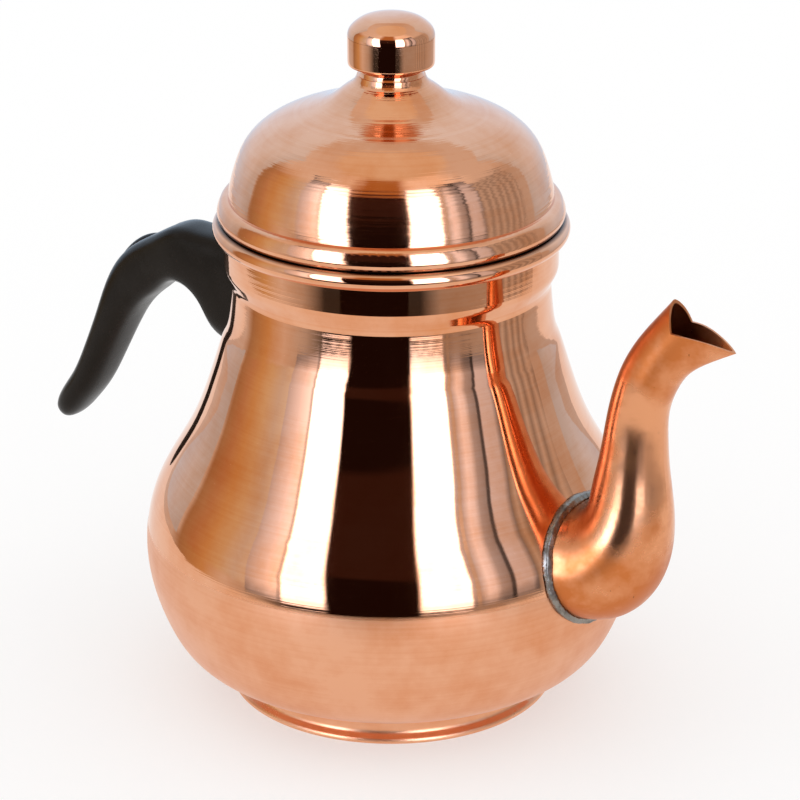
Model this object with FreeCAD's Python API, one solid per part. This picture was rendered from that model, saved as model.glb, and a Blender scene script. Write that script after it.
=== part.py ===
import FreeCAD, Part
import math
import os

V = FreeCAD.Vector
AXIS = V(0, 0, 1)

# Copper teapot. Sizes are millimetres, +Z is up, +X points along the spout and -X along the handle.
# Pieces are laid out around the pot's axis, and then moved so that the origin lies on the table, at the
# middle of the overall length.

# Sheet thicknesses
body_wall = 1.0
spout_wall = 1.0
foot_wall = 1.6
lid_wall = 0.9
skirt_wall = 0.8
knob_wall = 1.0

# Clearances
solder_gap = 0.05
wire_clearance = 0.05
rivet_clearance = 0.05
thread_clearance = 0.05
handle_clearance = 0.15
screw_clearance = 0.3
recess_clearance = 0.15
bolt_clearance = 0.15
lid_lift_gap = 0.3
lid_side_gap = 0.6

# Pot body: outer radius and height at each turn of the pear shape
floor_radius = 40.0
floor_height = 6.0
heel_radius = 58.0
heel_height = 10.8
turn_radius = 66.2
turn_height = 15.4
bowl_radius = 73.0
bowl_height = 26.0
belly_radius = 77.95
belly_height = 50.0
flank_radius = 75.1
flank_height = 65.0
waist_radius = 62.3
waist_height = 89.0
nape_radius = 52.4
nape_height = 117.0
neck_radius = 49.4
neck_height = 134.5
neck_slope = -0.08

# Collar and wired rim above the neck
step_rise = 7.2
collar_radius = 51.7
collar_height = 8.2
bead_outer_radius = 55.0
bead_section_radius = 2.85
curl_slit_angle = 24.0
curl_tuck_angle = 3.0

# Strainer holes in the body behind the spout
strainer_hole_radius = 2.0
strainer_pitch = 6.0
strainer_rings = 2

# Foot ring
foot_radius = 52.0
foot_edge_radius = 0.6
foot_cove_radius = 50.3
foot_cove_height = 2.6
foot_top_radius = 49.7
foot_top_height = 6.0
foot_solder_leg = 2.4

# Spout: each station is a cut across the tube, given by how far its inner and its outer end lie out from
# and up from the body's wall at the root, its half width, how far it narrows towards its outer end, and
# how square it is, where 2 is an ellipse
spout_root_height = 59.5
spout_stations = [
    ((-18.8, 18.0), (-16.8, -16.6), 22.4, 0.0, 2.0),
    ((-10.3, 17.8), (-0.8, -17.2), 22.3, 0.0, 2.0),
    ((-5.6, 17.7), (11.2, -14.8), 20.8, 0.0, 2.0),
    ((-2.6, 19.6), (20.2, -4.5), 18.0, 0.0, 2.0),
    ((-1.0, 22.6), (24.0, 8.5), 15.2, 0.0, 2.0),
    ((-0.2, 28.5), (24.2, 22.5), 12.6, 0.0, 2.0),
    ((1.2, 35.5), (22.8, 33.5), 11.0, 0.0, 2.0),
    ((2.6, 44.0), (22.1, 43.0), 9.9, 0.0, 2.0),
    ((4.0, 53.0), (22.1, 50.5), 9.1, 0.0, 2.0),
    ((7.2, 64.8), (24.0, 58.5), 8.8, 0.0, 2.0),
    ((13.0, 76.0), (28.3, 66.2), 8.2, 0.1, 2.0),
    ((21.2, 86.7), (34.8, 71.8), 8.0, 0.35, 1.7),
    ((28.2, 96.5), (47.2, 78.9), 8.6, 0.45, 1.4),
]
mouth_peak = (23.7, 89.8)
mouth_notch = (26.6, 81.7)
mouth_edge = (36.7, 80.4)
mouth_lip = (45.0, 77.6)
mouth_overshoot = 30.0
spout_solder_width = 2.0
spout_solder_height = 1.4

# Handle: each station is a cut across the grip, given by how far its inner and its outer end lie out from
# and up from the body's wall at the root, and its half width
handle_root_height = 120.0
handle_stations = [
    ((-4.4, -20.0), (-4.4, 17.0), 9.0),
    ((7.5, -18.5), (4.6, 16.8), 9.0),
    ((15.5, -14.6), (10.6, 16.6), 9.1),
    ((19.4, -8.4), (16.6, 16.9), 9.2),
    ((24.2, -3.6), (22.6, 17.2), 9.3),
    ((30.2, -1.9), (30.8, 17.0), 9.4),
    ((35.2, -3.8), (39.5, 12.7), 9.3),
    ((40.0, -7.8), (48.2, 7.6), 9.2),
    ((44.8, -11.8), (55.2, 1.1), 9.1),
    ((49.8, -17.2), (60.6, -8.3), 9.0),
    ((54.2, -24.0), (64.6, -18.2), 8.9),
    ((58.5, -31.9), (68.3, -26.7), 8.7),
    ((62.9, -40.2), (72.2, -35.2), 8.6),
    ((68.0, -48.8), (76.6, -43.0), 8.4),
    ((73.4, -55.6), (81.4, -49.6), 8.0),
]
handle_tip_length = 11.2
handle_tip_steps = (0.5, 0.8, 0.95)
handle_root_squareness = 4.0
handle_tip_squareness = 2.4
rib_stations = handle_stations[6:]
rib_half_width = 1.8
rib_half_depth = 2.0
rib_rise = 1.1

# Bracket, rivets and screw that hold the handle
plate_gap = 0.05
plate_thickness = 1.2
plate_half_width = 6.5
plate_drop = 14.0
plate_rise = 11.0
rivet_rises = (-10.2, 7.4)
rivet_radius = 1.5
rivet_head_radius = 2.5
rivet_head_height = 1.0
rivet_seat_gap = 0.1
screw_rise = -1.5
screw_slope = 24.0
screw_radius = 1.75
screw_head_radius = 2.9
screw_head_height = 2.2
screw_slot_width = 0.8
screw_slot_depth = 1.0
screw_seat_distance = 24.0
screw_engagement = 7.0
washer_thickness = 0.6
boss_radius = 4.3
boss_length = 10.0

# Lid: flange, dome and trumpet neck, with heights above the seat; a slope is how far the outline leans out
# for each millimetre that it rises
flange_edge_radius = 52.9
flange_edge_slope = 0.5
flange_radius = 53.5
flange_bulge_height = 1.8
flange_turn_radius = 52.7
flange_turn_height = 4.7
crease_radius = 50.1
crease_height = 6.5
crease_slope = -5.0
dome_foot_slope = -0.1
dome_side_radius = 48.7
dome_side_height = 13.2
dome_shoulder_radius = 44.5
dome_shoulder_height = 23.2
dome_top_radius = 31.7
dome_top_height = 32.2
flare_radius = 18.2
flare_height = 37.5
trumpet_radius = 13.4
trumpet_height = 41.2
crown_radius = 10.4
crown_height = 44.7
crown_slope = -0.3
skirt_depth = 9.5
skirt_tuck = 5.4
lid_solder_width = 2.8
lid_solder_height = 3.4

# Knob: radii, with heights above the lid's crown
knob_base_radius = 10.0
knob_base_slope = -0.6
knob_neck_radius = 9.5
knob_neck_height = 1.2
knob_flare_radius = 12.4
knob_flare_height = 3.1
knob_radius = 13.25
knob_drum_height = 5.4
knob_split_height = 11.8
knob_shoulder_radius = 11.4
knob_shoulder_height = 15.6
knob_top_height = 18.6
knob_floor = 1.2
bolt_radius = 2.5
bolt_head_radius = 4.4
bolt_head_height = 3.0
bolt_tail = 1.5
nut_radius = 4.6
nut_height = 4.0
knob_washer_radius = 5.6
knob_washer_thickness = 1.0

# How finely offset curves and free outlines are followed
span_samples = 6
outline_points = 16
touch = 1e-6


def flat(radius, height):
    """Point in the pot's middle plane."""
    return V(radius, 0, height)


def curve_through(points, first_direction, last_direction):
    """Smooth curve through points, leaving and arriving in the given directions."""
    curve = Part.BSplineCurve()
    curve.interpolate(Points=points, InitialTangent=first_direction, FinalTangent=last_direction)
    return curve


def parallel_curve(curve, outward):
    """Curve beside a rising profile curve, outward from the pot's axis."""
    length = curve.LastParameter - curve.FirstParameter
    samples = span_samples * (curve.NbKnots - 1)
    points = []
    for index in range(samples + 1):
        parameter = curve.FirstParameter + length * index / samples
        direction = curve.tangent(parameter)[0]
        points.append(curve.value(parameter) + V(direction.z, 0, -direction.x) * outward)
    beside = Part.BSplineCurve()
    beside.interpolate(points)
    return beside


def line_edges(points):
    """Straight edges from point to point, leaving out those of no length."""
    edges = []
    for start, end in zip(points, points[1:]):
        if start.distanceToPoint(end) > touch:
            edges.append(Part.makeLine(start, end))
    return edges


def profile(edges):
    """Face in the middle plane inside a closed chain of edges."""
    return Part.Face(Part.Wire(edges))


def spun(face):
    """Solid turned around the pot's axis from a face in the middle plane."""
    return face.Faces[0].revolve(V(0, 0, 0), AXIS, 360)


def joined(face, other_face):
    """One face out of two that overlap in the middle plane."""
    return face.Faces[0].fuse(other_face.Faces[0]).removeSplitter()


def corner_profile(corners):
    """Face in the middle plane with straight edges from corner to corner."""
    return profile(line_edges(corners + corners[:1]))


def block_profile(inner_radius, outer_radius, bottom, top):
    """Plain rectangle in the middle plane."""
    return corner_profile(
        [
            flat(inner_radius, bottom),
            flat(outer_radius, bottom),
            flat(outer_radius, top),
            flat(inner_radius, top),
        ]
    )


def filled_profile(curves, bottom, top):
    """Face from the axis out to a chain of rising curves, between two heights."""
    start = curves[0].StartPoint
    edges = line_edges([flat(0, bottom), flat(start.x, bottom), start])
    for curve, following in zip(curves, curves[1:] + [None]):
        edges.append(curve.toShape())
        if following:
            edges += line_edges([curve.EndPoint, following.StartPoint])
    end = curves[-1].EndPoint
    edges += line_edges([end, flat(end.x, top), flat(0, top), flat(0, bottom)])
    return profile(edges)


def ring(inner_radius, outer_radius, bottom, top):
    """Plain ring around the pot's axis."""
    return spun(block_profile(inner_radius, outer_radius, bottom, top))


def rod(start, direction, radius, length):
    """Cylinder from a point along a direction."""
    return Part.makeCylinder(radius, length, start, direction)


def axis_rod(radius, bottom, top):
    """Cylinder around the pot's axis between two heights."""
    return rod(flat(0, bottom), AXIS, radius, top - bottom)


def oval(inner_end, outer_end, half_width, narrowing, squareness):
    """Closed outline across a tube, from its inner to its outer end in the middle plane and wide along Y."""
    centre = (inner_end + outer_end) / 2
    half_depth = (outer_end - inner_end) / 2
    points = []
    for index in range(outline_points):
        angle = 2 * math.pi * index / outline_points
        across = math.copysign(abs(math.cos(angle)) ** (2 / squareness), math.cos(angle))
        aside = math.copysign(abs(math.sin(angle)) ** (2 / squareness), math.sin(angle))
        width = half_width * (1 - narrowing * (1 + across) / 2)
        points.append(centre + half_depth * across + V(0, width * aside, 0))
    outline = Part.BSplineCurve()
    even_steps = [index / outline_points for index in range(outline_points + 1)]
    outline.interpolate(Points=points, PeriodicFlag=True, Parameters=even_steps)
    return outline


def skinned(outlines):
    """Solid with a smooth skin through closed outlines and a flat cap at each end."""
    middles = [(outline.value(0) + outline.value(0.5)) / 2 for outline in outlines]
    steps = [0.0]
    for previous, middle in zip(middles, middles[1:]):
        steps.append(steps[-1] + previous.distanceToPoint(middle))
    columns = []
    for index in range(1, outlines[0].NbPoles + 1):
        column = Part.BSplineCurve()
        column.interpolate(Points=[outline.getPole(index) for outline in outlines], Parameters=steps)
        columns.append(column)
    rows = []
    for index in range(1, columns[0].NbPoles + 1):
        rows.append([column.getPole(index) for column in columns])
    skin = Part.BSplineSurface()
    skin.buildFromPolesMultsKnots(
        rows,
        columns[0].getMultiplicities(),
        outlines[0].getMultiplicities(),
        columns[0].getKnots(),
        outlines[0].getKnots(),
        False,
        True,
        columns[0].Degree,
        outlines[0].Degree,
    )
    side = skin.toShape()
    caps = [Part.Face(Part.Wire(edge)) for edge in side.Edges if edge.isClosed()]
    sewn = Part.makeCompound([side] + caps)
    sewn.sewShape()
    solid = Part.Solid(sewn.Shells[0])
    if solid.Volume < 0:
        solid.reverse()
    return solid


def placed(ends, root):
    """Points measured out from and up from a root point on the body's wall."""
    return [root + flat(out, up) for out, up in ends]


# Pot body
belly_curve = curve_through(
    [
        flat(floor_radius, floor_height),
        flat(heel_radius, heel_height),
        flat(turn_radius, turn_height),
        flat(bowl_radius, bowl_height),
        flat(belly_radius, belly_height),
        flat(flank_radius, flank_height),
        flat(waist_radius, waist_height),
        flat(nape_radius, nape_height),
        flat(neck_radius, neck_height),
    ],
    V(1, 0, 0),
    V(neck_slope, 0, 1),
)
collar_base = neck_height + step_rise
step_curve = curve_through(
    [
        flat(neck_radius, neck_height),
        flat((neck_radius + collar_radius) / 2, neck_height + step_rise / 2),
        flat(collar_radius, collar_base),
    ],
    V(neck_slope, 0, 1),
    AXIS,
)
bead_radius = bead_outer_radius - bead_section_radius
wire_radius = bead_section_radius - body_wall
collar_offset = collar_radius - bead_radius
bead_height = collar_base + collar_height + math.sqrt(bead_section_radius**2 - collar_offset**2)
bead_top = bead_height + bead_section_radius
curl_middle = bead_section_radius - body_wall / 2
wall_top = bead_height - math.sqrt(curl_middle**2 - (collar_offset - body_wall / 2) ** 2)


def pot_profile(grow, top):
    """Half of the pot's filled outline with its outer edge moved outward, up to a height."""
    curves = [belly_curve, step_curve]
    if grow:
        curves = [parallel_curve(curve, grow) for curve in curves]
    return filled_profile(curves, floor_height - grow, top)


def pot_form(grow, top):
    """The pot's filled form with its outer face moved outward, up to a height."""
    return spun(pot_profile(grow, top))


def wall_place(height):
    """Point on the body's outer face at a height, and the outward direction there."""
    curve = belly_curve if height < neck_height else step_curve
    low = curve.FirstParameter
    high = curve.LastParameter
    while high - low > touch:
        middle = (low + high) / 2
        if curve.value(middle).z < height:
            low = middle
        else:
            high = middle
    along = curve.tangent(low)[0]
    return curve.value(low), V(along.z, 0, -along.x)


def curl_profile():
    """Outline of the rim's sheet, rolled outward over the wire and tucked in under the bead."""
    seam = math.atan2(-math.sqrt(bead_section_radius**2 - collar_offset**2), collar_offset)
    first = seam + math.radians(curl_slit_angle)
    last = seam + 2 * math.pi + math.radians(curl_tuck_angle)

    def place(radius, angle):
        return flat(bead_radius + radius * math.cos(angle), bead_height + radius * math.sin(angle))

    middle = (first + last) / 2
    outer = Part.Arc(*[place(bead_section_radius, angle) for angle in (first, middle, last)])
    inner = Part.Arc(*[place(wire_radius, angle) for angle in (last, middle, first)])
    edges = [outer.toShape()]
    edges += line_edges([outer.EndPoint, inner.StartPoint])
    edges.append(inner.toShape())
    edges += line_edges([inner.EndPoint, outer.StartPoint])
    return profile(edges)


def strainer_holes():
    """Pierced holes in a honeycomb pattern, straight through the wall behind the spout."""
    holes = []
    for row in range(-strainer_rings, strainer_rings + 1):
        count = 2 * strainer_rings + 1 - abs(row)
        for column in range(count):
            side = (column - (count - 1) / 2) * strainer_pitch
            height = spout_root_height + row * strainer_pitch * math.sqrt(3) / 2
            start = V(belly_radius / 2, side, height)
            holes.append(rod(start, V(1, 0, 0), strainer_hole_radius, belly_radius))
    return holes


def to_handle_side(shape):
    """Half turn around the pot's axis, for pieces that are laid out on the +X side."""
    turned_shape = shape.copy()
    turned_shape.rotate(V(0, 0, 0), AXIS, 180)
    return turned_shape


def rivet_holes():
    """Holes for the bracket's rivets, laid out on the +X side."""
    holes = []
    for rise in rivet_rises:
        place, outward = wall_place(handle_root_height + rise)
        reach = body_wall + plate_thickness + rivet_head_radius
        start = place - outward * reach
        holes.append(rod(start, outward, rivet_radius + rivet_clearance, 2 * reach))
    return holes


def body_shell():
    """Spun shell with its rolled rim, strainer and rivet holes."""
    sheet = pot_profile(0, wall_top).cut(pot_profile(-body_wall, wall_top + body_wall))
    holes = strainer_holes() + [to_handle_side(hole) for hole in rivet_holes()]
    return spun(joined(sheet, curl_profile())).cut(holes)


def rim_wire():
    """Wire inside the rolled rim."""
    return Part.makeTorus(bead_radius, wire_radius - wire_clearance, V(0, 0, bead_height))


# Foot
foot_curve = curve_through(
    [
        flat(foot_radius, foot_edge_radius),
        flat(foot_cove_radius, foot_cove_height),
        flat(foot_top_radius, foot_top_height),
    ],
    AXIS,
    AXIS,
)


def foot_profile():
    """Outline of a flared ring whose top follows the underside of the bowl."""
    edge_centre = flat(foot_radius - foot_edge_radius, foot_edge_radius)
    slant = foot_edge_radius * math.sqrt(0.5)
    edge = Part.Arc(
        flat(edge_centre.x, 0),
        edge_centre + V(slant, 0, -slant),
        flat(foot_radius, foot_edge_radius),
    )
    top = heel_height
    outside = filled_profile([edge, foot_curve], 0, top)
    inner_curve = foot_curve.copy()
    inner_curve.translate(V(-foot_wall, 0, 0))
    inside = filled_profile([inner_curve], 0, top)
    return outside.cut([inside, pot_profile(solder_gap, neck_height)])


def foot_ring():
    """Ring that the pot stands on."""
    return spun(foot_profile())


def foot_solder():
    """Solder fillet in the corner between the ring's inside and the bowl."""
    wall = foot_top_radius - foot_wall - solder_gap
    fillet = corner_profile(
        [
            flat(wall, foot_top_height - foot_solder_leg),
            flat(wall, heel_height),
            flat(wall - foot_solder_leg - heel_height + foot_top_height, heel_height),
        ]
    )
    return spun(fillet.cut([pot_profile(solder_gap, neck_height), foot_profile()]))


# Spout
spout_root = wall_place(spout_root_height)[0]


def spout_form(grow):
    """The spout's filled form with its outer face moved outward."""
    outlines = []
    for *ends, half_width, narrowing, squareness in spout_stations:
        inner_end, outer_end = placed(ends, spout_root)
        growth = (outer_end - inner_end).normalize() * grow
        grown_ends = (inner_end - growth, outer_end + growth)
        outlines.append(oval(*grown_ends, half_width + grow, narrowing, squareness))
    return skinned(outlines)


def mouth_cut():
    """Everything above the mouth: a steep cut down from the peak, then a long one out to the lip."""
    corners = (mouth_peak, mouth_notch, mouth_edge, mouth_lip)
    peak, notch, edge, lip = placed(corners, spout_root)
    above_peak = peak + (peak - notch)
    past_lip = lip + (lip - edge)
    roof = peak.z + mouth_overshoot
    rim = Part.Arc(notch, edge, lip)
    edges = line_edges([above_peak, notch])
    edges.append(rim.toShape())
    edges += line_edges([lip, past_lip, flat(past_lip.x, roof), flat(above_peak.x, roof), above_peak])
    face = Part.Face(Part.Wire(edges))
    face.translate(V(0, -mouth_overshoot, 0))
    return face.extrude(V(0, 2 * mouth_overshoot, 0))


def spout():
    """Tapered tube, cut to the body's wall at its root and open at its mouth."""
    tube = spout_form(0).cut(spout_form(-spout_wall))
    return tube.cut([pot_form(solder_gap, wall_top), mouth_cut()])


def spout_solder():
    """Solder ring round the spout's root, lying on the body."""
    layer = pot_form(solder_gap + spout_solder_height, wall_top)
    bead = spout_form(spout_solder_width).common(layer)
    return bead.cut([pot_form(solder_gap, wall_top), spout_form(solder_gap)])


# Handle and its fixing, laid out on the +X side and then turned to the -X side
handle_root = wall_place(handle_root_height)[0]
screw_foot = wall_place(handle_root_height + screw_rise)[0]
screw_direction = V(math.cos(math.radians(screw_slope)), 0, math.sin(math.radians(screw_slope)))
screw_seat = screw_foot + screw_direction * screw_seat_distance
boss_end = screw_foot + screw_direction * boss_length


def plate_form(grow):
    """The bracket's curved plate with its faces moved outward."""
    outer = pot_form(plate_gap + plate_thickness + grow, wall_top)
    inner = pot_form(plate_gap, wall_top)
    window = Part.makeBox(
        belly_radius,
        2 * (plate_half_width + grow),
        plate_drop + plate_rise + 2 * grow,
        V(0, -plate_half_width - grow, handle_root_height - plate_drop - grow),
    )
    return outer.cut(inner).common(window)


def boss_form(grow):
    """The bracket's boss with its faces moved outward."""
    return rod(screw_foot, screw_direction, boss_radius + grow, boss_length + grow)


def rivet_head_room(clearance):
    """Room around the rivets' outer heads, from their seats outward."""
    rooms = []
    for rise in rivet_rises:
        place, outward = wall_place(handle_root_height + rise)
        seat = place + outward * (plate_gap + plate_thickness + rivet_seat_gap)
        rooms.append(rod(seat, outward, rivet_head_radius + clearance, rivet_head_height + clearance))
    return rooms


def handle_bracket():
    """Plate and threaded boss in one piece, drilled for the screw, with a flat seat under each rivet's head."""
    bracket = plate_form(0).fuse(boss_form(0)).cut(pot_form(plate_gap, wall_top))
    thread = rod(
        boss_end - screw_direction * (screw_engagement + screw_clearance),
        screw_direction,
        screw_radius + thread_clearance,
        boss_length,
    )
    return to_handle_side(bracket.cut(rivet_holes() + rivet_head_room(rivet_clearance) + [thread]))


def bracket_rivets():
    """Two rivets through the plate and the body's wall."""
    rivets = []
    for rise in rivet_rises:
        place, outward = wall_place(handle_root_height + rise)
        outer_seat = plate_gap + plate_thickness + rivet_seat_gap
        inner_seat = body_wall + rivet_seat_gap
        shank = rod(place - outward * inner_seat, outward, rivet_radius, inner_seat + outer_seat)
        outer_head = rod(place + outward * outer_seat, outward, rivet_head_radius, rivet_head_height)
        inner_head = rod(place - outward * inner_seat, outward * -1, rivet_head_radius, rivet_head_height)
        rivets.append(shank.fuse([outer_head, inner_head]).removeSplitter())
    return to_handle_side(Part.makeCompound(rivets))


def grip_form():
    """Arched grip from the root to its rounded tip."""
    outlines = []
    loss = (handle_root_squareness - handle_tip_squareness) / (len(handle_stations) - 1)
    for index, (*ends, half_width) in enumerate(handle_stations):
        squareness = handle_root_squareness - loss * index
        outlines.append(oval(*placed(ends, handle_root), half_width, 0, squareness))
    inner_end, outer_end = placed(ends, handle_root)
    centre = (inner_end + outer_end) / 2
    half_depth = (outer_end - inner_end) / 2
    along = V(half_depth.z, 0, -half_depth.x).normalize()
    for reach in handle_tip_steps:
        scale = math.sqrt(1 - reach**2)
        place = centre + along * (handle_tip_length * reach)
        tip_ends = (place - half_depth * scale, place + half_depth * scale)
        outlines.append(oval(*tip_ends, half_width * scale, 0, handle_tip_squareness))
    return skinned(outlines)


def rib_form():
    """Moulded rib that rises out of the grip's spine and runs down to just before the tip."""
    outlines = []
    rise = -rib_rise
    for *ends, _ in rib_stations:
        inner_end, outer_end = placed(ends, handle_root)
        outward = (outer_end - inner_end).normalize()
        crest = outer_end + outward * rise
        outlines.append(oval(crest - outward * (2 * rib_half_depth), crest, rib_half_width, 0, 2))
        rise = rib_rise
    return skinned(outlines)


def handle_grip():
    """Moulded handle with its screw recess and a pocket for the bracket."""
    grip = grip_form().fuse(rib_form())
    recess = rod(screw_seat, screw_direction, screw_head_radius + recess_clearance, screw_seat_distance)
    hole = rod(screw_foot, screw_direction, screw_radius + screw_clearance, screw_seat_distance)
    pocket = [plate_form(handle_clearance), boss_form(handle_clearance)]
    grip = grip.cut(pot_form(handle_clearance, wall_top))
    return to_handle_side(grip.cut([recess, hole] + pocket + rivet_head_room(handle_clearance)))


def handle_washer():
    """Washer on the floor of the screw recess."""
    disc = rod(screw_seat, screw_direction, screw_head_radius, washer_thickness)
    hole = rod(screw_seat, screw_direction, screw_radius + thread_clearance, washer_thickness)
    return to_handle_side(disc.cut(hole))


def handle_screw():
    """Slotted cheese-head screw from the recess into the boss."""
    head_seat = screw_seat + screw_direction * washer_thickness
    tail = boss_end - screw_direction * screw_engagement
    shank = rod(tail, screw_direction, screw_radius, tail.distanceToPoint(head_seat))
    head = rod(head_seat, screw_direction, screw_head_radius, screw_head_height)
    slot = Part.makeBox(2 * screw_head_radius, screw_slot_width, screw_slot_depth)
    slot.translate(V(-screw_head_radius, -screw_slot_width / 2, 0))
    slot.Placement = FreeCAD.Placement(
        head_seat + screw_direction * (screw_head_height - screw_slot_depth),
        FreeCAD.Rotation(AXIS, screw_direction),
    ).multiply(slot.Placement)
    return to_handle_side(shank.fuse(head).removeSplitter().cut(slot))


# Lid
lid_seat = bead_top + lid_lift_gap
lid_crown = lid_seat + crown_height
mouth_radius = bead_radius - bead_section_radius
skirt_radius = mouth_radius - lid_side_gap
flange_curve = curve_through(
    [
        flat(flange_edge_radius, lid_seat),
        flat(flange_radius, lid_seat + flange_bulge_height),
        flat(flange_turn_radius, lid_seat + flange_turn_height),
        flat(crease_radius, lid_seat + crease_height),
    ],
    V(flange_edge_slope, 0, 1),
    V(crease_slope, 0, 1),
)
dome_curve = curve_through(
    [
        flat(crease_radius, lid_seat + crease_height),
        flat(dome_side_radius, lid_seat + dome_side_height),
        flat(dome_shoulder_radius, lid_seat + dome_shoulder_height),
        flat(dome_top_radius, lid_seat + dome_top_height),
        flat(flare_radius, lid_seat + flare_height),
        flat(trumpet_radius, lid_seat + trumpet_height),
        flat(crown_radius, lid_crown),
    ],
    V(dome_foot_slope, 0, 1),
    V(crown_slope, 0, 1),
)


def lid_profile(inset):
    """Half of the lid's filled outline with its outer edge moved inward, open below when inset."""
    curves = [flange_curve, dome_curve]
    if not inset:
        return filled_profile(curves, lid_seat, lid_crown)
    curves = [parallel_curve(curve, -inset) for curve in curves]
    below = lid_seat - skirt_depth
    inside = filled_profile(curves, below, curves[-1].EndPoint.z)
    return inside.common(block_profile(0, flange_radius, below, lid_crown - inset))


def bolt_hole(bottom, top):
    """Half outline of the bolt's hole on the pot's axis."""
    return block_profile(0, bolt_radius + bolt_clearance, bottom, top)


def lid_dome():
    """Spun dome with its flange and trumpet neck, open below."""
    hole = bolt_hole(lid_crown - 2 * lid_wall, lid_crown + lid_wall)
    return spun(lid_profile(0).cut([lid_profile(lid_wall), hole]))


def lid_skirt():
    """Band that drops into the mouth."""
    return ring(skirt_radius - skirt_wall, skirt_radius, lid_seat - skirt_depth, lid_seat + skirt_tuck)


def lid_solder():
    """Solder fillet between the skirt and the inside of the flange."""
    wall = skirt_radius + solder_gap
    top = lid_seat + crease_height
    fillet = corner_profile(
        [
            flat(wall, top - lid_solder_height),
            flat(wall + lid_solder_width, top),
            flat(wall, top),
        ]
    )
    return spun(fillet.common(lid_profile(lid_wall + solder_gap)))


# Knob
knob_split = lid_crown + knob_split_height
cup_curve = curve_through(
    [
        flat(knob_base_radius, lid_crown),
        flat(knob_neck_radius, lid_crown + knob_neck_height),
        flat(knob_flare_radius, lid_crown + knob_flare_height),
        flat(knob_radius, lid_crown + knob_drum_height),
    ],
    V(knob_base_slope, 0, 1),
    AXIS,
)
cap_curve = curve_through(
    [
        flat(knob_radius, knob_split + solder_gap),
        flat(knob_shoulder_radius, lid_crown + knob_shoulder_height),
        flat(0, lid_crown + knob_top_height),
    ],
    AXIS,
    V(-1, 0, 0),
)
knob_floor_top = lid_crown + knob_floor


def knob_cup():
    """Lower half of the knob: neck, flare and drum, with a floor for the bolt."""
    hollow = corner_profile(
        [
            flat(0, knob_floor_top),
            flat(knob_neck_radius - knob_wall, knob_floor_top),
            flat(knob_radius - knob_wall, lid_crown + knob_drum_height),
            flat(knob_radius - knob_wall, knob_split),
            flat(0, knob_split),
        ]
    )
    cup = filled_profile([cup_curve], lid_crown, knob_split)
    return spun(cup.cut([hollow, bolt_hole(lid_crown - knob_wall, knob_floor_top + knob_wall)]))


def knob_cap():
    """Upper half of the knob, a hollow domed cap."""
    seam = knob_split + solder_gap
    inner_top = lid_crown + knob_top_height - knob_wall
    inner_curve = curve_through(
        [
            flat(knob_radius - knob_wall, seam),
            flat(knob_shoulder_radius - knob_wall, lid_crown + knob_shoulder_height - knob_wall),
            flat(0, inner_top),
        ],
        AXIS,
        V(-1, 0, 0),
    )
    cap = filled_profile([cap_curve], seam, cap_curve.EndPoint.z)
    return spun(cap.cut(filled_profile([inner_curve], seam, inner_top)))


def knob_bolt():
    """Bolt with its head on the knob's floor and its thread under the lid's crown."""
    crown_underside = lid_crown - lid_wall
    tail = crown_underside - knob_washer_thickness - nut_height - bolt_tail
    shank = axis_rod(bolt_radius, tail, knob_floor_top)
    head = axis_rod(bolt_head_radius, knob_floor_top, knob_floor_top + bolt_head_height)
    return shank.fuse(head).removeSplitter()


def knob_washer():
    """Washer under the lid's crown."""
    top = lid_crown - lid_wall
    return ring(bolt_radius + bolt_clearance, knob_washer_radius, top - knob_washer_thickness, top)


def knob_nut():
    """Hexagon nut under the washer."""
    top = lid_crown - lid_wall - knob_washer_thickness
    corners = []
    for index in range(7):
        angle = math.radians(60 * index)
        corners.append(V(nut_radius * math.cos(angle), nut_radius * math.sin(angle), top - nut_height))
    prism = Part.Face(Part.Wire(line_edges(corners))).extrude(V(0, 0, nut_height))
    return prism.cut(axis_rod(bolt_radius + thread_clearance, top - nut_height, top))


PIECES = [
    body_shell,
    rim_wire,
    foot_ring,
    foot_solder,
    spout,
    spout_solder,
    handle_bracket,
    bracket_rivets,
    handle_grip,
    handle_washer,
    handle_screw,
    lid_dome,
    lid_skirt,
    lid_solder,
    knob_cup,
    knob_cap,
    knob_bolt,
    knob_washer,
    knob_nut,
]

os.makedirs("parts", exist_ok=True)
shapes = {piece.__name__: piece() for piece in PIECES}
reach = [shapes[name].optimalBoundingBox(False) for name in ("handle_grip", "spout")]
to_origin = V(-(reach[0].XMin + reach[1].XMax) / 2, 0, 0)
print("pot's axis at x", round(to_origin.x, 3))
for name, shape in shapes.items():
    shape.translate(to_origin)
    shape.exportStep(f"parts/{name}.step")
    print(name, len(shape.Solids), "solids, valid", shape.isValid(), round(shape.Volume, 1), "mm3")
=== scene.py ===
import logging
import math
from collections.abc import Sequence
from dataclasses import dataclass
from enum import Enum
from functools import cache
from typing import Any

import bpy
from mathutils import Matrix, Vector, noise


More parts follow.
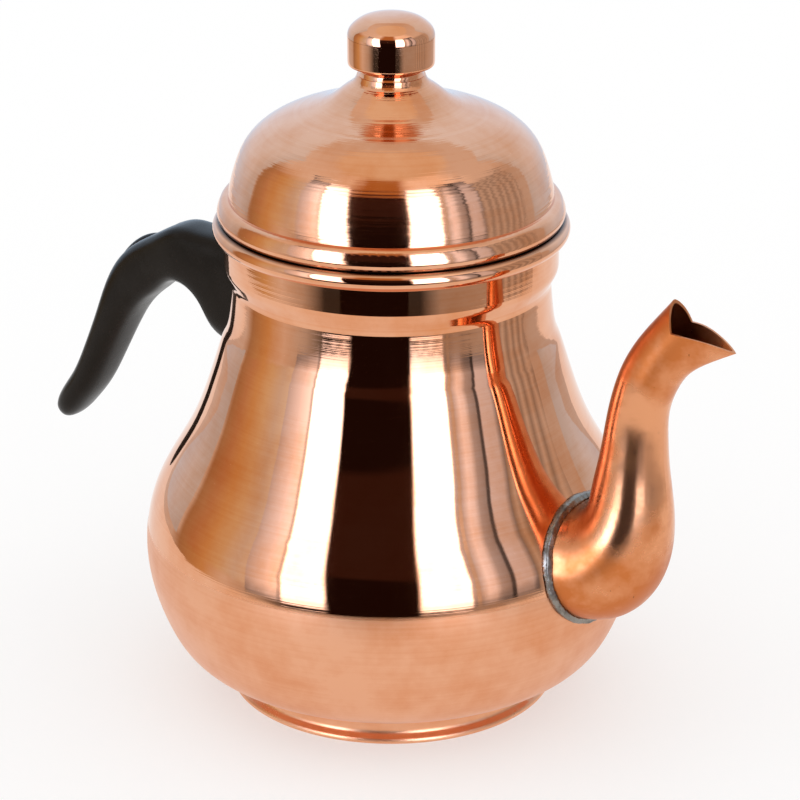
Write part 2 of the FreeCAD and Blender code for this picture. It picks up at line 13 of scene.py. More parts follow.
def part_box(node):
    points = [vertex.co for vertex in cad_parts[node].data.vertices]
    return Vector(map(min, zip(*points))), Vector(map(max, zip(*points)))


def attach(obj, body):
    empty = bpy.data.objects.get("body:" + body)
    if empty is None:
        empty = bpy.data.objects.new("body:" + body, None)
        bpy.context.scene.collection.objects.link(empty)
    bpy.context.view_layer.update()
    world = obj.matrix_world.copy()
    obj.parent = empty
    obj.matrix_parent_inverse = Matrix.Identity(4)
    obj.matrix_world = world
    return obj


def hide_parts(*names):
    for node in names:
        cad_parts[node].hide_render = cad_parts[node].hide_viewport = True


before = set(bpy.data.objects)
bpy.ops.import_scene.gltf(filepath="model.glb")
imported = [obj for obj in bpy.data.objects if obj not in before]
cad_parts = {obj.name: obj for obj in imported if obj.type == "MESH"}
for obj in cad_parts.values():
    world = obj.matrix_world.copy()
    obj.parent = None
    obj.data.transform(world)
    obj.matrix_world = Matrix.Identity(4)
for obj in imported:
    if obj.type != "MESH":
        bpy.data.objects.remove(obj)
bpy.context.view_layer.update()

log = logging.getLogger("teapot")
MM = 0.001

# A hex sRGB colour, or a grey level where 1 is plain white
Tone = str | float
# Two limits that a value is stretched between
Span = tuple[float, float]
Socket = bpy.types.NodeSocket
Tree = bpy.types.NodeTree


class Body(Enum):
    """The bodies that new pieces ride on."""

    POT = "pot"


class Slot(Enum):
    """Names of material slots for new pieces; nothing in this script reads them."""

    SOLDER = "solder"


def linear(tone: Tone) -> tuple[float, float, float, float]:
    """Turns a tone into linear light.

    Args:
        tone: colour written as "#RRGGBB", or a grey level that is linear already.

    Returns:
        Red, green, blue and alpha.
    """
    if not isinstance(tone, str):
        return (tone, tone, tone, 1.0)
    channels = []
    for start in (1, 3, 5):
        value = int(tone[start : start + 2], 16) / 255
        channels.append(value / 12.92 if value <= 0.04045 else ((value + 0.055) / 1.055) ** 2.4)
    return (channels[0], channels[1], channels[2], 1.0)


def per_metre(size_mm: float) -> float:
    """Pattern scale whose features are about this many millimetres wide."""
    return 1 / (size_mm * MM)


def add(
    tree: Tree,
    kind: str,
    inputs: dict[Any, Any] | None = None,
    stops: Sequence[tuple[float, Tone]] = (),
    **settings: Any,
) -> bpy.types.Node:
    """Adds a node with its settings, constants and links.

    Args:
        tree: node tree that takes the node.
        kind: Blender's name for the node.
        inputs: input name or number to a constant, or to the socket that feeds it.
        stops: place from 0 to 1 and tone of each stop, where the node has a colour ramp.
        settings: properties of the node.

    Returns:
        The new node.
    """
    node = tree.nodes.new(kind)
    for name, value in settings.items():
        setattr(node, name, value)
    for key, value in (inputs or {}).items():
        if isinstance(value, Socket):
            tree.links.new(value, node.inputs[key])
        else:
            node.inputs[key].default_value = value
    for index, (place, tone) in enumerate(stops):
        elements = node.color_ramp.elements
        element = elements[index] if index < len(elements) else elements.new(1.0)
        element.position = place
        element.color = linear(tone)
    return node


def fresh_material(name: str) -> tuple[bpy.types.Material, Tree]:
    """Makes an empty node material.

    Args:
        name: the material's name.

    Returns:
        The material and its node tree.
    """
    material = bpy.data.materials.new(name)
    material.use_nodes = True
    material.node_tree.nodes.clear()
    return material, material.node_tree


def finish_surface(tree: Tree, inputs: dict[str, Any]) -> None:
    """Ends a material's tree with one surface shader that has the given inputs."""
    shader = add(tree, "ShaderNodeBsdfPrincipled", inputs)
    add(tree, "ShaderNodeOutputMaterial", {"Surface": shader.outputs["BSDF"]})


@dataclass(frozen=True)
class Marks:
    """One kind of mark on a surface: how wide, how deep and how finely broken up the marks are."""

    size_mm: float
    depth_mm: float
    detail: float = 2.0
    detail_share: float = 0.6

    def pattern(self, tree: Tree, vector: Socket, dimensions: str = "3D") -> Socket:
        """Adds the marks' pattern.

        Args:
            tree: node tree that takes the nodes.
            vector: place on the surface, in metres.
            dimensions: "3D", or "2D" where the third coordinate doesn't count.

        Returns:
            Socket from 0 to 1.
        """
        inputs = {
            "Vector": vector,
            "Scale": per_metre(self.size_mm),
            "Detail": self.detail,
            "Roughness": self.detail_share,
        }
        return add(tree, "ShaderNodeTexNoise", inputs, noise_dimensions=dimensions).outputs["Fac"]

    def press(self, tree: Tree, pattern: Socket, normal: Socket | None = None) -> Socket:
        """Presses the marks into the surface.

        Args:
            tree: node tree that takes the node.
            pattern: the marks' pattern.
            normal: surface direction that is already marked, if any.

        Returns:
            Socket with the marked surface direction.
        """
        inputs = {"Height": pattern, "Distance": self.depth_mm * MM}
        if normal:
            inputs["Normal"] = normal
        return add(tree, "ShaderNodeBump", inputs).outputs["Normal"]


@dataclass(frozen=True)
class TurnedPlace:
    """Where a point of a turned piece lies, seen from the pot's own axis."""

    axis_x: float

    def sockets(self, tree: Tree) -> dict[str, Socket]:
        """Adds the nodes that find the place.

        Args:
            tree: node tree that takes the nodes.

        Returns:
            Sockets for the point, its way out from the axis, its height, and its radius and height as
            one vector.
        """
        point = add(tree, "ShaderNodeTexCoord").outputs["Object"]
        axis = (self.axis_x, 0, 0)
        flat = (1, 1, 0)
        centred = add(tree, "ShaderNodeVectorMath", {0: point, 1: axis}, operation="SUBTRACT").outputs[0]
        level = add(tree, "ShaderNodeVectorMath", {0: centred, 1: flat}, operation="MULTIPLY").outputs[0]
        radius = add(tree, "ShaderNodeVectorMath", {0: level}, operation="LENGTH").outputs["Value"]
        height = add(tree, "ShaderNodeSeparateXYZ", {0: centred}).outputs["Z"]
        profile = add(tree, "ShaderNodeCombineXYZ", {"X": radius, "Y": height}).outputs[0]
        return {"point": centred, "level": level, "height": height, "profile": profile}


@dataclass(frozen=True)
class SpunCopper:
    """Copper sheet spun on a lathe and buffed: a mirror drawn out by fine rings, with slow tool waves."""

    name: str
    place: TurnedPlace
    tone: str = "#E6A883"
    worn_tone: str = "#D98C5C"
    worn_span: Span = (0.5, 0.85)
    ring_tint: float = 0.2
    roughness: Span = (0.02, 0.06)
    # Buffing rings are some tenths of a millimetre wide; they are drawn coarser to show in the picture
    rings: Marks = Marks(1.0, 0.0016, 3.0)
    waves: Marks = Marks(5.0, 0.006, 1.0)
    dents: Marks = Marks(30.0, 0.03)
    pits: Marks = Marks(0.7, 0.0012, 4.0)
    stains: Marks = Marks(22.0, 0.0, 6.0)
    stain_span: Span = (0.3, 0.7)
    # How many times as deep the rings are, by height in millimetres
    ring_shares: tuple[Span, ...] = ((0.0, 1.0), (200.0, 1.0))
    satin_below_mm: float = 0.0
    satin_blend_mm: float = 2.0
    satin: float = 0.34
    # Tin on the inside, and a painted shade on the rim's top under the lid
    tinned: bool = False
    tin_tone: str = "#A9A39C"
    # Painted shade: the dark tone on the rim's top where the lid sits, for the shadow in the gap under its
    # flange
    painted_seat_shade_tone: str = "#2B1F18"
    inside_dulling: float = 0.25
    # Limits of the tin's mask and of the painted shade's mask: how far a face looks outward or upward,
    # from -1 to 1, and its height
    inward_span: Span = (0.25, -0.05)
    underside_limit: float = -0.3
    floor_limit: float = 0.3
    floor_mm: float = 14.0
    seat_span: Span = (0.7, 0.95)
    seat_mm: float = 150.0

    def build(self) -> bpy.types.Material:
        """Makes the material.

        Returns:
            The new material.
        """
        material, tree = fresh_material(self.name)
        at = self.place.sockets(tree)
        stains = self.stains.pattern(tree, at["point"])
        rings = self.rings.pattern(tree, at["profile"], "2D")
        worn = add(
            tree, "ShaderNodeMath", {0: rings, 1: self.ring_tint, 2: stains}, operation="MULTIPLY_ADD"
        ).outputs[0]
        fresh, old = self.worn_span
        colour = add(
            tree, "ShaderNodeValToRGB", {"Fac": worn}, [(fresh, self.tone), (old, self.worn_tone)]
        ).outputs["Color"]
        rough = self._roughness(tree, stains, at["height"])
        if self.tinned:
            # Tin on the inside, then the painted shade on the rim's top under the lid's flange
            for mask, tone in zip(self._inside(tree, at), (self.tin_tone, self.painted_seat_shade_tone)):
                colour = add(
                    tree,
                    "ShaderNodeMix",
                    {"Factor": mask, "A": colour, "B": linear(tone)},
                    data_type="RGBA",
                ).outputs["Result"]
                dulling = {0: mask, 1: self.inside_dulling, 2: rough}
                rough = add(tree, "ShaderNodeMath", dulling, operation="MULTIPLY_ADD").outputs[0]
        normal = self._marked(tree, rings, at)
        finish_surface(tree, {"Base Color": colour, "Metallic": 1.0, "Roughness": rough, "Normal": normal})
        return material

    def _roughness(self, tree: Tree, stains: Socket, height: Socket) -> Socket:
        """Adds the roughness: a little more in the stains, and satin below a height.

        Args:
            tree: node tree that takes the nodes.
            stains: the stains' pattern.
            height: height above the table.

        Returns:
            Socket with the roughness.
        """
        clean, stained = self.stain_span
        smooth, dull = self.roughness
        reach = {"Value": stains, "From Min": clean, "From Max": stained, "To Min": smooth, "To Max": dull}
        rough = add(tree, "ShaderNodeMapRange", reach).outputs["Result"]
        top = self.satin_below_mm * MM
        full = top - self.satin_blend_mm * MM
        reach = {"Value": height, "From Min": top, "From Max": full, "To Max": self.satin}
        satin = add(tree, "ShaderNodeMapRange", reach).outputs["Result"]
        return add(tree, "ShaderNodeMath", {0: rough, 1: satin}, operation="ADD").outputs[0]

    def _marked(self, tree: Tree, rings: Socket, at: dict[str, Socket]) -> Socket:
        """Presses dents, waves, rings and pits into the surface.

        Args:
            tree: node tree that takes the nodes.
            rings: the rings' pattern.
            at: the place's sockets.

        Returns:
            Socket with the marked surface direction.
        """
        top_mm = self.ring_shares[-1][0]
        reach = {"Value": at["height"], "From Max": top_mm * MM}
        up = add(tree, "ShaderNodeMapRange", reach).outputs["Result"]
        stops = [(height / top_mm, level) for height, level in self.ring_shares]
        share = add(tree, "ShaderNodeValToRGB", {"Fac": up}, stops).outputs["Color"]
        deep = add(tree, "ShaderNodeMath", {0: rings, 1: share}, operation="MULTIPLY").outputs[0]
        normal = self.dents.press(tree, self.dents.pattern(tree, at["point"]))
        normal = self.waves.press(tree, self.waves.pattern(tree, at["profile"], "2D"), normal)
        normal = self.rings.press(tree, deep, normal)
        return self.pits.press(tree, self.pits.pattern(tree, at["point"]), normal)

    def _inside(self, tree: Tree, at: dict[str, Socket]) -> tuple[Socket, Socket]:
        """Adds the masks of the pot's tin and of the painted shade on the rim.

        Args:
            tree: node tree that takes the nodes.
            at: the place's sockets.

        Returns:
            Mask of the tin, on faces that look towards the axis and on the floor, and mask of a painted
            shade, dark on the rim's top where the lid sits, standing in for the shadow in the gap under
            the lid's flange.
        """
        normal = add(tree, "ShaderNodeNewGeometry").outputs["Normal"]
        outward = add(tree, "ShaderNodeVectorMath", {0: at["level"]}, operation="NORMALIZE").outputs[0]
        facing = add(
            tree, "ShaderNodeVectorMath", {0: normal, 1: outward}, operation="DOT_PRODUCT"
        ).outputs["Value"]
        upward = add(tree, "ShaderNodeSeparateXYZ", {0: normal}).outputs["Z"]
        outer, inner = self.inward_span
        reach = {"Value": facing, "From Min": outer, "From Max": inner}
        inward = add(tree, "ShaderNodeMapRange", reach).outputs["Result"]
        over = {0: upward, 1: self.underside_limit}
        no_underside = add(tree, "ShaderNodeMath", over, operation="GREATER_THAN").outputs[0]
        walls = add(tree, "ShaderNodeMath", {0: inward, 1: no_underside}, operation="MULTIPLY").outputs[0]
        over = {0: upward, 1: self.floor_limit}
        up = add(tree, "ShaderNodeMath", over, operation="GREATER_THAN").outputs[0]
        under = {0: at["height"], 1: self.floor_mm * MM}
        low = add(tree, "ShaderNodeMath", under, operation="LESS_THAN").outputs[0]
        floor = add(tree, "ShaderNodeMath", {0: up, 1: low}, operation="MULTIPLY").outputs[0]
        tinned = add(tree, "ShaderNodeMath", {0: floor, 1: walls}, operation="MAXIMUM").outputs[0]
        # Painted shade on the rim's top: upward faces above the seat's height, where the lid's flange
        # casts its shadow
        tilted, level = self.seat_span
        reach = {"Value": upward, "From Min": tilted, "From Max": level}
        top = add(tree, "ShaderNodeMapRange", reach).outputs["Result"]
        over = {0: at["height"], 1: self.seat_mm * MM}
        high = add(tree, "ShaderNodeMath", over, operation="GREATER_THAN").outputs[0]
        painted_seat_shade = add(tree, "ShaderNodeMath", {0: top, 1: high}, operation="MULTIPLY").outputs[0]
        return tinned, painted_seat_shade


@dataclass(frozen=True)
class PatchyFinish:
    """A finish in two tones, rougher where patches of the second one lie, with fine marks all over."""

    name: str
    tone: str
    patch_tone: str
    patches: Marks
    marks: Marks
    roughness: Span
    shader: tuple[tuple[str, Any], ...] = (("Metallic", 1.0),)
    spread: Span = (0.45, 0.72)
    # Pairs of heights between which the patches grow from none to a full stain
    stained_mm: tuple[Span, ...] = ()
    stain: float = 0.24
    speck_tone: str | None = None
    speck_span: Span = (0.7, 0.78)

    @cache
    def build(self) -> bpy.types.Material:
        """Makes the material once, for all pieces that share it.

        Returns:
            The material.
        """
        material, tree = fresh_material(self.name)
        point = add(tree, "ShaderNodeTexCoord").outputs["Object"]
        patches = self.patches.pattern(tree, point)
        height = add(tree, "ShaderNodeSeparateXYZ", {0: point}).outputs["Z"]
        for clean_mm, stained_mm in self.stained_mm:
            clean = clean_mm * MM
            stained = stained_mm * MM
            reach = {"Value": height, "From Min": clean, "From Max": stained, "To Max": self.stain}
            use = add(tree, "ShaderNodeMapRange", reach).outputs["Result"]
            patches = add(tree, "ShaderNodeMath", {0: patches, 1: use}, operation="ADD").outputs[0]
        low, high = self.spread
        colour = add(
            tree, "ShaderNodeValToRGB", {"Fac": patches}, [(low, self.tone), (high, self.patch_tone)]
        ).outputs["Color"]
        smooth, rough = self.roughness
        reach = {"Value": patches, "From Min": low, "From Max": high, "To Min": smooth, "To Max": rough}
        roughness = add(tree, "ShaderNodeMapRange", reach).outputs["Result"]
        marks = self.marks.pattern(tree, point)
        if self.speck_tone:
            edge, middle = self.speck_span
            reach = {"Value": marks, "From Min": edge, "From Max": middle}
            specks = add(tree, "ShaderNodeMapRange", reach).outputs["Result"]
            colour = add(
                tree,
                "ShaderNodeMix",
                {"Factor": specks, "A": colour, "B": linear(self.speck_tone)},
                data_type="RGBA",
            ).outputs["Result"]
        normal = self.patches.press(tree, patches)
        normal = self.marks.press(tree, marks, normal)
        finish_surface(
            tree, {"Base Color": colour, "Roughness": roughness, "Normal": normal, **dict(self.shader)}
        )
        return material


def dress(node: str, material: bpy.types.Material) -> None:
    """Gives a CAD node its finish.

    Args:
        node: name of the CAD node.
        material: its finish.
    """
    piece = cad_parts[node]
    piece.data.materials.clear()
    piece.data.materials.append(material)
    log.info("dressed %s in %s", node, material.name)


# Copper tube bent and polished by hand: a softer mirror with pits, brown stains and uneven walls
SPOUT_COPPER = PatchyFinish(
    "copper_tube_hand_polished",
    "#E29C70",
    "#C8733D",
    Marks(16.0, 0.05, 4.0),
    Marks(1.6, 0.006, 3.0),
    (0.19, 0.4),
    spread=(0.48, 0.8),
    stained_mm=((116.0, 140.0), (84.0, 64.0)),
    speck_tone="#4A2614",
)
# Black phenolic resin, press moulded: a satin skin with a faint orange peel and greyer rubbed patches
PHENOLIC = PatchyFinish(
    "phenolic_black_moulded",
    "#12100F",
    "#1B1917",
    Marks(14.0, 0.02, 6.0),
    Marks(0.8, 0.01, 3.0),
    (0.22, 0.32),
    (
        ("Metallic", 0.0),
        ("IOR", 1.6),
        ("Specular IOR Level", 0.12),
        ("Specular Tint", linear("#FFE3C8")),
    ),
)
# Tin-lead solder flowed with an iron: dull grey with brighter runs and dark flux left in the hollows
SOLDER = PatchyFinish(
    "soft_solder_flowed", "#8F877E", "#3C352F", Marks(4.0, 0.1, 6.0), Marks(0.7, 0.05, 3.0), (0.25, 0.55)
)
# Drawn and turned steel: a satin grey with fine tool marks and a brown bloom
STEEL = PatchyFinish(
    "steel_drawn_and_turned",
    "#8E8E90",
    "#5E5A57",
    Marks(3.0, 0.0, 5.0),
    Marks(0.3, 0.006, 3.0),
    (0.22, 0.4),
)
# Turned brass: a satin yellow with fine tool marks and a dull tarnish
BRASS = PatchyFinish(
    "brass_turned", "#C9A565", "#8A6B3A", Marks(3.0, 0.0, 5.0), Marks(0.3, 0.006, 3.0), (0.22, 0.4)
)


@dataclass
class Pot:
    """Body, foot, spout and handle, which stay put."""

    place: TurnedPlace
    # Deep rings at the neck, and deepest where the polished wall ends at the satin bowl
    ring_shares: tuple[Span, ...] = (
        (0.0, 5.0),
        (53.0, 5.0),
        (56.0, 16.0),
        (58.5, 14.0),
        (60.0, 1.0),
        (116.0, 1.0),
        (126.0, 8.0),
        (160.0, 8.0),
    )
    bowl_line_mm: float = 56.5
    foot_roughness: Span = (0.26, 0.34)
    solder_voxel_mm: float = 0.35
    solder_lump_mm: float = 8.0
    solder_lump_height_mm: float = 0.4
    # How the lumps break up: how smooth they are, how much finer each layer is, and how many layers
    lump_smoothness: float = 0.9
    lump_step: float = 2.0
    lump_layers: int = 3

    def flow_solder(self, finish: bpy.types.Material) -> None:
        """Builds the uneven solder round the spout's root out of the plain ring.

        Args:
            finish: the solder's material.
        """
        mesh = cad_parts["spout_solder"].data.copy()
        piece = bpy.data.objects.new("spout_solder_flow", mesh)
        bpy.context.scene.collection.objects.link(piece)
        remesh = piece.modifiers.new("even", "REMESH")
        remesh.mode = "VOXEL"
        remesh.voxel_size = self.solder_voxel_mm * MM
        graph = bpy.context.evaluated_depsgraph_get()
        dense = bpy.data.meshes.new_from_object(piece.evaluated_get(graph))
        piece.modifiers.clear()
        piece.data = dense
        normals = [vertex.normal.copy() for vertex in dense.vertices]
        for vertex, normal in zip(dense.vertices, normals):
            place = vertex.co * per_metre(self.solder_lump_mm)
            lump = noise.fractal(place, self.lump_smoothness, self.lump_step, self.lump_layers)
            vertex.co += normal * (lump * self.solder_lump_height_mm * MM)
        dense.polygons.foreach_set("use_smooth", [True] * len(dense.polygons))
        dense.materials.clear()
        dense.materials.append(finish)
        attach(piece, Body.POT.value)
        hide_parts("spout_solder")
        log.info("built %s with %d faces", piece.name, len(dense.polygons))

    def build(self) -> None:
        """Dresses the pot's nodes and builds its solder."""
        # Bright buffed wall over a satin bowl
        shell = SpunCopper(
            "copper_body_spun",
            self.place,
            ring_shares=self.ring_shares,
            satin_below_mm=self.bowl_line_mm,
            tinned=True,
        ).build()
        # Left off the buffing wheel, so it only glows
        foot = SpunCopper("copper_foot_spun", self.place, roughness=self.foot_roughness).build()
        dress("body_shell", shell)
        dress("rim_wire", STEEL.build())
        dress("foot_ring", foot)
        dress("foot_solder", SOLDER.build())
        dress("spout", SPOUT_COPPER.build())
        dress("handle_bracket", BRASS.build())
        dress("bracket_rivets", foot)
        dress("handle_grip", PHENOLIC.build())
        dress("handle_washer", STEEL.build())
        dress("handle_screw", STEEL.build())
        self.flow_solder(SOLDER.build())


@dataclass
class Lid:
    """Dome, skirt and knob, which lift off."""

    place: TurnedPlace
    dome_roughness: Span = (0.05, 0.1)
    dome_rings: Marks = Marks(1.6, 0.09, 3.0)
    dome_waves: Marks = Marks(5.0, 0.04, 1.0)
    knob_rings: Marks = Marks(1.2, 0.004, 3.0)

    def build(self) -> None:
        """Dresses the lid's nodes."""
        # Deeper rings than on the body, which comb the mirrored studio into streaks
        dome = SpunCopper(
            "copper_lid_spun",
            self.place,
            roughness=self.dome_roughness,
            rings=self.dome_rings,
            waves=self.dome_waves,
        ).build()
        # Small and bright, with rings that only show at the edges of what it mirrors
        knob = SpunCopper("copper_knob_spun", self.place, rings=self.knob_rings).build()
        for node in ("lid_dome", "lid_skirt"):
            dress(node, dome)
        for node in ("knob_cup", "knob_cap"):
            dress(node, knob)
        for node in ("knob_bolt", "knob_washer", "knob_nut"):
            dress(node, BRASS.build())
        dress("lid_solder", SOLDER.build())


@dataclass(frozen=True)
class Card:
    """Panel that only mirrors see."""

    name: str
    # Brightness by degrees to the right of the camera, and the share of it by height in metres
    columns: tuple[Span, ...]
    rows: tuple[Span, ...] = ((-0.03, 0.35), (0.1, 1.0), (0.7, 1.0), (1.1, 0.2))
    tone: str = "#FFFFFF"
    distance: float = 0.9
    lean_deg: float = 0.0


@dataclass(frozen=True)
class Studio:
    """Pale table, and the soft boxes, dark flag and pale walls that the copper mirrors."""

    axis_x: float
    camera_turn_deg: float = 35.0
    camera_pitch_deg: float = 22.2
    camera_distance: float = 0.92
    camera_height: float = 0.4697
    camera_aside: float = 0.00265
    lens_mm: float = 142.3
    sensor_mm: float = 36.0
    table_front: float = 0.365
    table_side: float = 0.42
    table_back: float = 3.0
    table_steps: int = 48
    table_tone: str = "#FFFFFF"
    # Share of plain white in the table, as the camera and as mirrors see it
    table_seen_white: float = 0.5
    table_mirrored_white: float = 0.8
    cards: tuple[Card, ...] = (
        Card(
            "left_box",
            (
                (-75, 1.0),
                (-66, 1.7),
                (-59, 2.5),
                (-58, 1.4),
                (-57.2, 1.4),
                (-56, 7.0),
                (-38, 7.0),
                (-35.5, 0.1),
            ),
            tone="#D9E6FF",
            lean_deg=9.0,
        ),
        Card(
            "flag",
            ((-34, 0.04), (11.5, 0.04)),
            ((-0.5, 0.3), (0.38, 0.35), (0.42, 1.0), (0.8, 1.0), (0.95, 6.0)),
            tone="#FFB29B",
            distance=1.05,
        ),
        Card("right_box", ((12, 1.0), (14, 7.0), (34, 7.0), (35.5, 1.2), (37, 0.9)), tone="#D9E6FF"),
        Card(
            "strips",
            (
                (39, 1.0),
                (43, 1.8),
                (46, 1.6),
                (49, 0.8),
                (53, 0.6),
                (54, 0.15),
                (55.2, 0.15),
                (56.2, 1.2),
                (64, 1.1),
                (67, 0.4),
            ),
            tone="#D9E6FF",
        ),
        Card(
            "blinds",
            tuple((67 + 3 * index, 0.65 if index % 2 else 0.35) for index in range(13)),
            ((-0.4, 1.0), (0.8, 1.0)),
        ),
        Card(
            "paper_sweep",
            ((114, 1.05), (126, 1.25), (160, 1.35), (200, 1.35), (234, 1.25), (246, 1.05)),
            ((0.0, 0.8), (0.3, 1.0), (1.3, 1.0)),
            tone="#D3E8FF",
        ),
    )
    # Tones around the pot by degrees to the right of the camera: below the table's edge, beside and above
    floor: tuple[tuple[float, Tone], ...] = (
        (-180, 0.7),
        (-122, 0.7),
        (-114, "#B19776"),
        (-95, "#DABE8B"),
        (-80, 0.8),
        (-62, 0.55),
        (-46, 0.05),
        (20, 0.05),
        (34, 0.45),
        (180, 0.7),
    )
    walls: tuple[tuple[float, Tone], ...] = (
        (-180, 0.8),
        (-117, 0.72),
        (-114.5, "#B19776"),
        (-104, "#C8A681"),
        (-95, "#DABE8B"),
        (-86, "#E1D8B8"),
        (-76, "#DDE3E4"),
        (-66, "#F3FFFF"),
        (-34, 0.7),
        (-29, "#8A5A30"),
        (8, "#8A5A30"),
        (13, 0.7),
        (36, 0.8),
        (48, 0.6),
        (54, 0.3),
        (66, 0.5),
        (102, 0.58),
        (135, 0.7),
        (180, 0.8),
    )
    ceiling: tuple[tuple[float, Tone], ...] = (
        (-180, 0.75),
        (-70, 0.9),
        (-42, 1.0),
        (-26, "#C18E59"),
        (6, "#C18E59"),
        (20, 1.2),
        (55, 1.2),
        (80, 0.8),
        (180, 0.75),
    )
    zenith: str = "#F3EDDD"
    # Upward share of the view where each ring of tones begins and where it is alone, from the top down
    ceiling_border: Span = (0.925, 0.9)
    wall_border: Span = (0.66, 0.48)
    floor_border: Span = (-0.02, -0.07)

    def turned(self, aside: float, back: float, height: float) -> Vector:
        """Finds a place from how it lies to the pot's axis as the camera sees it.

        Args:
            aside: distance to the right of the axis.
            back: distance behind the axis.
            height: height above the table.

        Returns:
            The place in the row frame.
        """
        turn = math.radians(self.camera_turn_deg)
        return Vector(
            (
                self.axis_x + aside * math.cos(turn) - back * math.sin(turn),
                aside * math.sin(turn) + back * math.cos(turn),
                height,
            )
        )

    def build_camera(self) -> None:
        """Sets up the camera of the photograph's view."""
        data = bpy.data.cameras.new("camera")
        data.lens = self.lens_mm
        data.sensor_width = self.sensor_mm
        camera = bpy.data.objects.new("camera", data)
        camera.location = self.turned(self.camera_aside, -self.camera_distance, self.camera_height)
        tilt = math.radians(90 - self.camera_pitch_deg)
        camera.rotation_euler = (tilt, 0, math.radians(self.camera_turn_deg))
        bpy.context.scene.collection.objects.link(camera)
        bpy.context.scene.camera = camera

    def build_panel(
        self, name: str, corners: list[Vector], faces: list[tuple[int, ...]], material: bpy.types.Material
    ) -> bpy.types.Object:
        """Makes one stage piece out of flat faces.

        Args:
            name: the piece's name.
            corners: its corners.
            faces: the numbers of the corners of each face, in order.
            material: its finish.

        Returns:
            The new piece.
        """
        mesh = bpy.data.meshes.new(name)
        mesh.from_pydata(corners, [], faces)
        mesh.materials.append(material)
        panel = bpy.data.objects.new(name, mesh)
        bpy.context.scene.collection.objects.link(panel)
        return panel

    def build_table(self) -> None:
        """Makes the pale table that the pot stands on."""
        material, tree = fresh_material("table_painted")
        path = add(tree, "ShaderNodeLightPath").outputs
        camera_share = {0: path["Is Camera Ray"], 1: self.table_seen_white}
        seen = add(tree, "ShaderNodeMath", camera_share, operation="MULTIPLY").outputs[0]
        mirror_share = {0: path["Is Glossy Ray"], 1: self.table_mirrored_white, 2: seen}
        even = add(tree, "ShaderNodeMath", mirror_share, operation="MULTIPLY_ADD").outputs[0]
        tone = {"Color": linear(self.table_tone)}
        paint = add(tree, "ShaderNodeBsdfDiffuse", tone).outputs[0]
        white = add(tree, "ShaderNodeEmission", tone).outputs[0]
        surface = add(tree, "ShaderNodeMixShader", {"Fac": even, 1: paint, 2: white}).outputs[0]
        add(tree, "ShaderNodeOutputMaterial", {"Surface": surface})
        material.cycles.emission_sampling = "NONE"
        corners = [self.turned(-self.table_side, self.table_back, 0)]
        for step in range(self.table_steps + 1):
            angle = math.pi * (step / self.table_steps - 0.5)
            aside = self.table_side * math.sin(angle)
            corners.append(self.turned(aside, -self.table_front * math.cos(angle), 0))
        corners.append(self.turned(self.table_side, self.table_back, 0))
        self.build_panel("table", corners, [tuple(range(len(corners)))], material)

    def build_card(self, card: Card) -> None:
        """Stands one card around the pot, for mirrors alone.

        Args:
            card: the card's brightness and place.
        """
        material, tree = fresh_material(card.name)
        level = add(tree, "ShaderNodeAttribute", attribute_name="level").outputs["Fac"]
        glow = add(tree, "ShaderNodeEmission", {"Color": linear(card.tone), "Strength": level})
        add(tree, "ShaderNodeOutputMaterial", {"Surface": glow.outputs[0]})
        material.cycles.emission_sampling = "NONE"
        corners = []
        levels = []
        top = card.rows[-1][0]
        for degrees, column_level in card.columns:
            for height, share in card.rows:
                angle = math.radians(degrees + card.lean_deg * (1 - height / top))
                aside = card.distance * math.sin(angle)
                corners.append(self.turned(aside, -card.distance * math.cos(angle), height))
                levels.append(column_level * share)
        step = len(card.rows)
        faces = [
            (first, first + step, first + step + 1, first + 1)
            for first in range(len(corners) - step)
            if (first + 1) % step
        ]
        panel = self.build_panel(card.name, corners, faces, material)
        panel.data.attributes.new("level", "FLOAT", "POINT").data.foreach_set("value", levels)
        panel.visible_camera = False
        panel.visible_diffuse = False
        panel.visible_transmission = False
        panel.visible_shadow = False

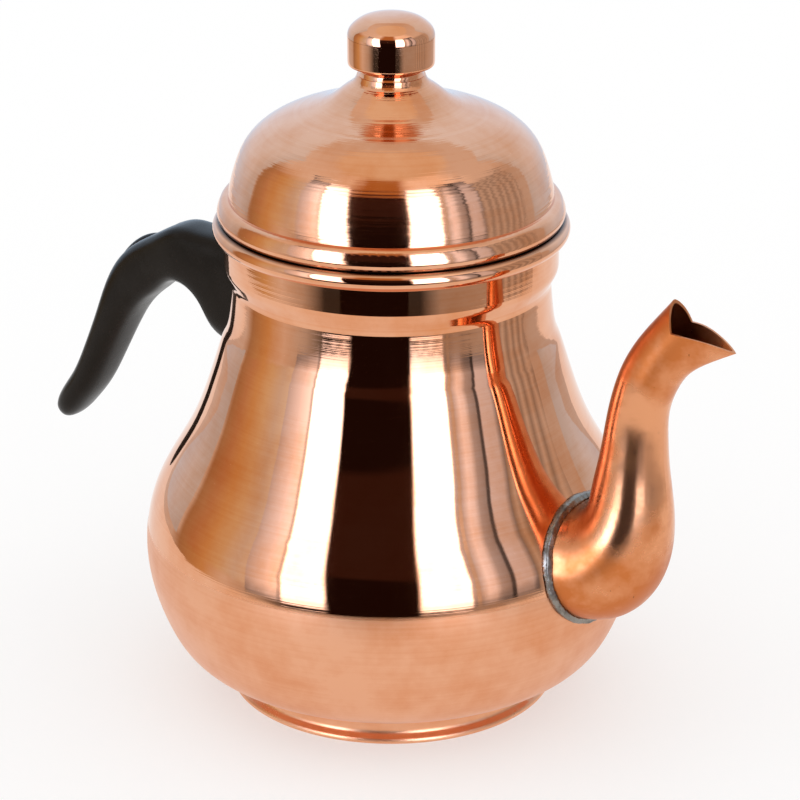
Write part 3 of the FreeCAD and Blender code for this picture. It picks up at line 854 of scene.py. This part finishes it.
    def build_light(self) -> None:
        """Lights the scene with an even white, and lets metal mirror the studio's walls."""
        world = bpy.data.worlds.new("studio")
        bpy.context.scene.world = world
        world.use_nodes = True
        world.cycles.sampling_method = "NONE"
        tree = world.node_tree
        tree.nodes.clear()
        view = add(tree, "ShaderNodeTexCoord").outputs["Generated"]
        turn = math.radians(90 - self.camera_turn_deg)
        faced = add(
            tree, "ShaderNodeVectorRotate", {"Vector": view, "Angle": turn}, rotation_type="Z_AXIS"
        ).outputs[0]
        split = add(tree, "ShaderNodeSeparateXYZ", {0: faced}).outputs
        angle = add(tree, "ShaderNodeMath", {0: split["Y"], 1: split["X"]}, operation="ARCTAN2").outputs[0]
        place = add(
            tree, "ShaderNodeMapRange", {"Value": angle, "From Min": -math.pi, "From Max": math.pi}
        ).outputs["Result"]
        mirrored: Any = linear(self.zenith)
        rings = (
            (self.ceiling, self.ceiling_border),
            (self.walls, self.wall_border),
            (self.floor, self.floor_border),
        )
        for tones, (start, full) in rings:
            stops = [((degrees + 180) / 360, tone) for degrees, tone in tones]
            ring = add(tree, "ShaderNodeValToRGB", {"Fac": place}, stops).outputs["Color"]
            border = {"Value": split["Z"], "From Min": start, "From Max": full}
            reach = add(tree, "ShaderNodeMapRange", border).outputs["Result"]
            mirrored = add(
                tree, "ShaderNodeMix", {"Factor": reach, "A": mirrored, "B": ring}, data_type="RGBA"
            ).outputs["Result"]
        glossy = add(tree, "ShaderNodeLightPath").outputs["Is Glossy Ray"]
        light = add(
            tree, "ShaderNodeMix", {"Factor": glossy, "A": linear(1.0), "B": mirrored}, data_type="RGBA"
        ).outputs["Result"]
        background = add(tree, "ShaderNodeBackground", {"Color": light})
        add(tree, "ShaderNodeOutputWorld", {"Surface": background.outputs[0]})

    def build(self) -> None:
        """Builds camera, table, cards and light."""
        self.build_camera()
        self.build_table()
        for card in self.cards:
            self.build_card(card)
        self.build_light()
        bpy.context.scene.view_settings.view_transform = "Standard"


def main() -> None:
    """Builds the pot, the lid and the studio, in this order."""
    logging.basicConfig(level=logging.INFO, format="%(name)s: %(message)s")
    low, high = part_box("foot_ring")
    place = TurnedPlace((low.x + high.x) / 2)
    Pot(place).build()
    Lid(place).build()
    Studio(place.axis_x).build()


if __name__ == "__main__":
    main()
